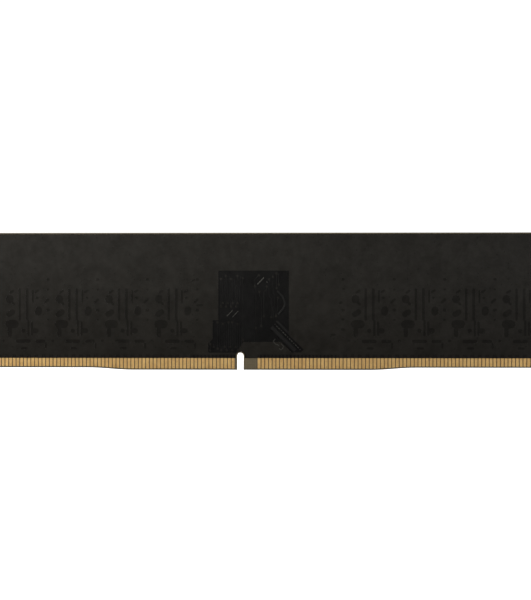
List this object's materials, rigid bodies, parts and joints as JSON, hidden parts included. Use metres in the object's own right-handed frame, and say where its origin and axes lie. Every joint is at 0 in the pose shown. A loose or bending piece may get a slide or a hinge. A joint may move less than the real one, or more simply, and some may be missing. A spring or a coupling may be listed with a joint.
{
  "type": "memory module",
  "caption": "Upright plug-in memory board with gold edge contacts, a key notch, side latch notches and a row of memory packages on one face.",
  "frame": {"origin": "middle of the contact edge, at half the board's thickness, where the board's lowest edge sits on the socket floor", "axes": "+X along the board, to the right when the bare face is seen; -Y out of the bare face; +Y out of the face that carries the packages; +Z out of the socket"},
  "size_m": [0.1334, 0.0025, 0.0312],
  "materials": {
    "glass_laminate": "satin",
    "copper": "satin",
    "gold_plating": "polished",
    "black_solder_mask": "satin",
    "mould_compound": "matte",
    "package_substrate": "satin",
    "silicon": "polished",
    "solder": "satin",
    "resistor_ceramic": "matte",
    "capacitor_ceramic": "matte"
  },
  "bodies": {
    "root": {"laminate_back": "glass_laminate", "laminate_middle": "glass_laminate", "laminate_front": "glass_laminate", "ground_plane": "copper", "power_plane": "copper", "back_copper_layer": "copper", "front_copper_layer": "copper", "back_solder_mask": "black_solder_mask", "front_solder_mask": "black_solder_mask", "back_contacts_short_row": "gold_plating", "back_contacts_long_row": "gold_plating", "front_contacts_short_row": "gold_plating", "front_contacts_long_row": "gold_plating", "dram_1_mould_cap": "mould_compound", "dram_1_die": "silicon", "dram_1_substrate": "package_substrate", "dram_1_solder_balls": "solder", "dram_2_mould_cap": "mould_compound", "dram_2_die": "silicon", "dram_2_substrate": "package_substrate", "dram_2_solder_balls": "solder", "dram_3_mould_cap": "mould_compound", "dram_3_die": "silicon", "dram_3_substrate": "package_substrate", "dram_3_solder_balls": "solder", "dram_4_mould_cap": "mould_compound", "dram_4_die": "silicon", "dram_4_substrate": "package_substrate", "dram_4_solder_balls": "solder", "dram_5_mould_cap": "mould_compound", "dram_5_die": "silicon", "dram_5_substrate": "package_substrate", "dram_5_solder_balls": "solder", "dram_6_mould_cap": "mould_compound", "dram_6_die": "silicon", "dram_6_substrate": "package_substrate", "dram_6_solder_balls": "solder", "dram_7_mould_cap": "mould_compound", "dram_7_die": "silicon", "dram_7_substrate": "package_substrate", "dram_7_solder_balls": "solder", "dram_8_mould_cap": "mould_compound", "dram_8_die": "silicon", "dram_8_substrate": "package_substrate", "dram_8_solder_balls": "solder", "spd_chip_body": "mould_compound", "spd_chip_die": "silicon", "spd_chip_die_pad": "solder", "data_resistor_array_1": "resistor_ceramic", "data_resistor_array_2": "resistor_ceramic", "data_resistor_array_3": "resistor_ceramic", "data_resistor_array_4": "resistor_ceramic", "data_resistor_array_5": "resistor_ceramic", "data_resistor_array_6": "resistor_ceramic", "data_resistor_array_7": "resistor_ceramic", "data_resistor_array_8": "resistor_ceramic", "termination_resistor_array_1": "resistor_ceramic", "bulk_capacitor_1": "capacitor_ceramic", "termination_resistor_array_2": "resistor_ceramic", "bulk_capacitor_2": "capacitor_ceramic"}
  },
  "joints": []
}
